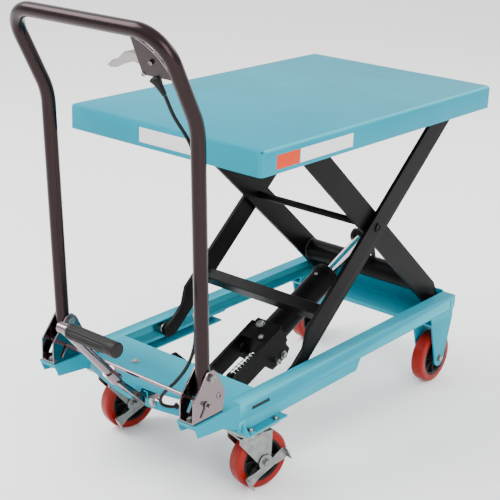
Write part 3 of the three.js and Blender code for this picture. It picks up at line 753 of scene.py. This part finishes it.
def control_cable():
    knots = [slanted(143.5, 60.2, -3.5)] + [at(*point) for point in CABLE_ROUTE]
    bm = bmesh.new()
    swept(bm, smooth_curve(knots, 10), 3.4 * MM, 20)
    cable = new_piece("release_cable", bm, None, materials["rubber"], 60, ("control_cable",))
    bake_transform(cable)


def cable_clip(name, place, axis):
    """A bright strap round the cable, against the post."""
    strap = [(3.6, -4), (4.8, -4), (5.2, 0), (4.8, 4), (3.6, 4)]
    turned_piece(name, strap, facing(place, axis), "handle", materials["zinc"],
                 segments=28, round_by=0.5)


# ---------- scissor ----------
def arms():
    for name, _ in SIDES:
        softened(f"outer_arm_{name}", "outer_arms", materials["black"], 1.3, 3)
        softened(f"inner_arm_{name}", "inner_arms", materials["black"], 1.3, 3)
    softened("arm_crossbar", "outer_arms", materials["black"], 2.4, 3)
    softened("thrust_tube", "inner_arms", materials["black"], 0.9)


def thrust_tube_weld(name, side):
    """A weld bead round one end of the thrust tube."""
    tube_low, tube_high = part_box("thrust_tube")
    centre = Vector((0, tube_high.y - TUBE_RADIUS * MM, tube_low.z + TUBE_RADIUS * MM))
    bead = [(TUBE_RADIUS - 0.5, 152.2), (TUBE_RADIUS + 2.4, 155.4), (TUBE_RADIUS - 0.5, 155.6)]
    turned_piece(f"tube_weld_{name}", bead, facing(centre, (side, 0, 0)), "inner_arms",
                 materials["black"], segments=72, round_by=0.4)


def centre_shaft():
    centre = middle("centre_shaft")
    place = facing(centre, (1, 0, 0))
    shaft = [(0, -178), (7.9, -178), (7.9, 178), (0, 178)]
    turned_piece("centre_shaft_bar", shaft, place, "outer_arms", materials["black"],
                 ("centre_shaft",), 40, 1.0)
    cap = [(8.0, 177.3), (10.4, 177.3), (10.4, 179.6), (8.0, 179.6)]
    for name, side in SIDES:
        turned_piece(f"centre_cap_{name}", cap, facing(centre, (side, 0, 0)), "outer_arms",
                     materials["black"], segments=40, round_by=0.7)


def track_rollers():
    for level in ("lower", "upper"):
        for name, side in SIDES:
            node = f"{level}_roller_{name}"
            profile = [(6.4, -12), (11.8, -12), (13.2, -10.6), (13.2, 10.6), (11.8, 12), (6.4, 12)]
            turned_piece(f"{node}_finish", profile, facing(middle(node), (side, 0, 0)), node,
                         materials["zinc"], (node,), 48, 0.5)


# ---------- platform ----------
def platform():
    top = softened("platform_top", "platform", materials["platform_paint"], 1.4, 3)
    top.data.set_sharp_from_angle(angle=math.radians(60))
    for name, _ in SIDES:
        softened(f"platform_channel_{name}", "platform", materials["black"], 0.8)


# ---------- hydraulics ----------
RAM_START, RAM_EYE = at(0, -250, 98), at(0, 303, 336)
RAM_AXIS = (RAM_EYE - RAM_START).normalized()
RAM_UP = Vector((0, -RAM_AXIS.z, RAM_AXIS.y))
PUMP_FRONT, BARREL_START = 172, 236.3


def on_ram(s, n=0.0, x=0.0):
    """A point given in millimetres along the ram, above it and across it."""
    return RAM_START + RAM_AXIS * (s * MM) + RAM_UP * (n * MM) + Vector((x * MM, 0, 0))


def ram():
    foot = on_ram(BARREL_START)
    barrel = [(0, 0), (29, 0), (30, 1), (30, 199.4), (32.6, 199.8), (33, 201), (33, 213.4), (31, 215.4),
              (17, 215.7), (13.4, 214), (13.4, 12), (0, 12)]
    turned_piece("barrel_finish", barrel, facing(foot, RAM_AXIS), "cylinder_unit", materials["black"],
                 ("cylinder_barrel",), 72, 0.8)
    round_bolt("bleed_screw", on_ram(BARREL_START + 180, 29.6), RAM_UP, "cylinder_unit", 4, 3.2)
    shaft = [(0, 0), (12.4, 0), (12.4, 243), (0, 243)]
    eye = [(7.4, -13.4), (16, -13.4), (17, -12.4), (17, 12.4), (16, 13.4), (7.4, 13.4)]
    bm = bmesh.new()
    revolved(bm, shaft, facing(on_ram(347), RAM_AXIS), 56)
    new_piece("ram_rod_finish", bm, "ram_rod", materials["rod_chrome"], 35, ("ram_rod",))
    turned_piece("rod_eye", eye, facing(RAM_EYE, (1, 0, 0)), "ram_rod", materials["black"],
                 segments=56, round_by=0.5)
    wiper = [(12.6, 215.7), (15.6, 215.7), (15.6, 218), (12.8, 219)]
    turned_piece("rod_wiper", wiper, facing(foot, RAM_AXIS), "cylinder_unit", materials["rubber"],
                 segments=48, round_by=0.4)


def pump():
    softened("pump_body", "cylinder_unit", materials["black"], 1.6, 3)
    hex_bolt("pump_cap_bolt", on_ram(220, 33.4, -14), RAM_UP, "cylinder_unit", 8, 11, 6)
    hex_bolt("pump_bolt_front", on_ram(186, 34.4, 14), RAM_UP, "cylinder_unit", 5, 7, 4.4)
    hex_bolt("pump_side_bolt", on_ram(212, -34, 40), (1, 0, 0), "cylinder_unit", 7.5, 10, 6.5)
    fitting = [(0, 0), (5, 0), (5, 5), (7, 6), (7, 11), (4, 12), (4, 16), (0, 16)]
    turned_piece("relief_fitting", fitting, facing(on_ram(184, -24, 40), (1, 0, -0.2)), "cylinder_unit",
                 materials["zinc"], segments=6, round_by=0.3)
    bm = bmesh.new()
    hook = [on_ram(PUMP_FRONT + along, across, -20)
            for along, across in ((0, 18), (-12, 24), (-22, 20), (-26, 10), (-22, 4))]
    swept(bm, smooth_curve(hook, 6), 3 * MM, 14)
    new_piece("release_hook", bm, "cylinder_unit", materials["black"], 50)


PLUNGER_FACE = on_ram(PUMP_FRONT, -12)
PLUNGER_AXIS = Vector((0, math.cos(math.radians(18.4)), math.sin(math.radians(18.4))))


def plunger_and_spring():
    tail = PLUNGER_FACE - PLUNGER_AXIS * (148 * MM)
    profile = [(0, 0), (5.5, 0), (6.4, 1), (6.4, 53), (12.5, 53), (13.4, 54), (13.4, 58), (12.5, 59),
               (6.4, 59), (6.4, 153.5), (0, 153.5)]
    turned_piece("plunger_finish", profile, facing(tail, PLUNGER_AXIS), "plunger", materials["black"],
                 ("plunger",), 40, 0.4)
    place = facing(PLUNGER_FACE - PLUNGER_AXIS * (86.4 * MM), PLUNGER_AXIS)
    turns, length, radius, steps = 8, 83, 11.5, 32
    points = []
    for i in range(turns * steps + 1):
        angle = 2 * math.pi * i / steps
        points.append(place @ (Vector((radius * math.cos(angle), radius * math.sin(angle),
                                       length * i / (turns * steps))) * MM))
    bm = bmesh.new()
    swept(bm, points, 1.75 * MM, 12)
    spring = new_piece("spring_coil", bm, "cylinder_unit", materials["rod_chrome"], 60,
                       ("return_spring",))
    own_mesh(spring)


# ---------- pedal ----------
GRIP_SIDES = 120
GRIP_FLUTES = 12


def pedal():
    softened("pedal_arm", "pedal", materials["chrome"], 1.2, 3)
    softened("pedal_shaft", "base", materials["zinc"], 0.6)
    bm = bmesh.new()
    place = facing(at(15, -655, 396), (1, 0, 0))
    rings = []
    for height, depth, radius in grip_stations():
        ring = []
        for k in range(GRIP_SIDES):
            angle = 2 * math.pi * k / GRIP_SIDES
            flute = depth * max(0.0, math.cos(GRIP_FLUTES * angle)) ** 0.6
            reach = (radius - flute) * MM
            ring.append(bm.verts.new(place @ Vector((reach * math.cos(angle), reach * math.sin(angle),
                                                     height * MM))))
        rings.append(ring)
    for low, high in zip(rings, rings[1:]):
        bridge(bm, low, high, GRIP_SIDES)
    bm.faces.new(rings[0])
    bm.faces.new(rings[-1])
    new_piece("grip_finish", bm, "pedal", materials["rubber"], 60, ("pedal_grip",))


def grip_stations():
    """Height, flute depth and radius along the grip: plain rounded ends, fluted between them."""
    stations = [(0.2, 0, 12.6), (0.8, 0, 13.9), (2.2, 0, 14.8), (8, 0, 14.9), (9.5, 1.3, 14.9)]
    stations += [(9.5 + 13 * i, 1.3, 14.9) for i in range(1, 8)]
    stations += [(102, 0, 14.9), (120, 0, 14.9), (122.8, 0, 14.8), (124.2, 0, 13.9), (124.8, 0, 12.4)]
    return stations


# ---------- build ----------
frame_plates()
deck_fittings()
push_handle()
lock_rod()
lever_group()
cable_boot()
control_cable()
cable_clip("cable_clip_upper", at(171.4, -500, 714), (0.04, 0.14, -1))
cable_clip("cable_clip_lower", at(173, -489.4, 424), (0, 0, 1))
arms()
centre_shaft()
track_rollers()
platform()
ram()
pump()
plunger_and_spring()
pedal()
for side_name, side_sign in SIDES:
    caster_mount_fittings(side_name, side_sign)
    rail_end_weld(side_name, side_sign)
    slot_plate(side_name, side_sign)
    thrust_tube_weld(side_name, side_sign)
    rear_wheel(side_name, side_sign)
    caster(side_name, side_sign)
    handle_brackets(side_name, side_sign)

# A key light high on the left, a broad fill on the right and a strip behind the table for the rims.
add_area_light("key", (-2.2, -1.6, 3.4), (0, 0, 0.4), (2.4, 2.4), 210)
add_area_light("fill", (3.4, -1.4, 1.9), (0, 0, 0.4), (2.0, 2.6), 105)
add_area_light("rim", (0.6, 3.4, 2.6), (0, 0, 0.5), (3.0, 1.2), 60)

bpy.context.view_layer.update()
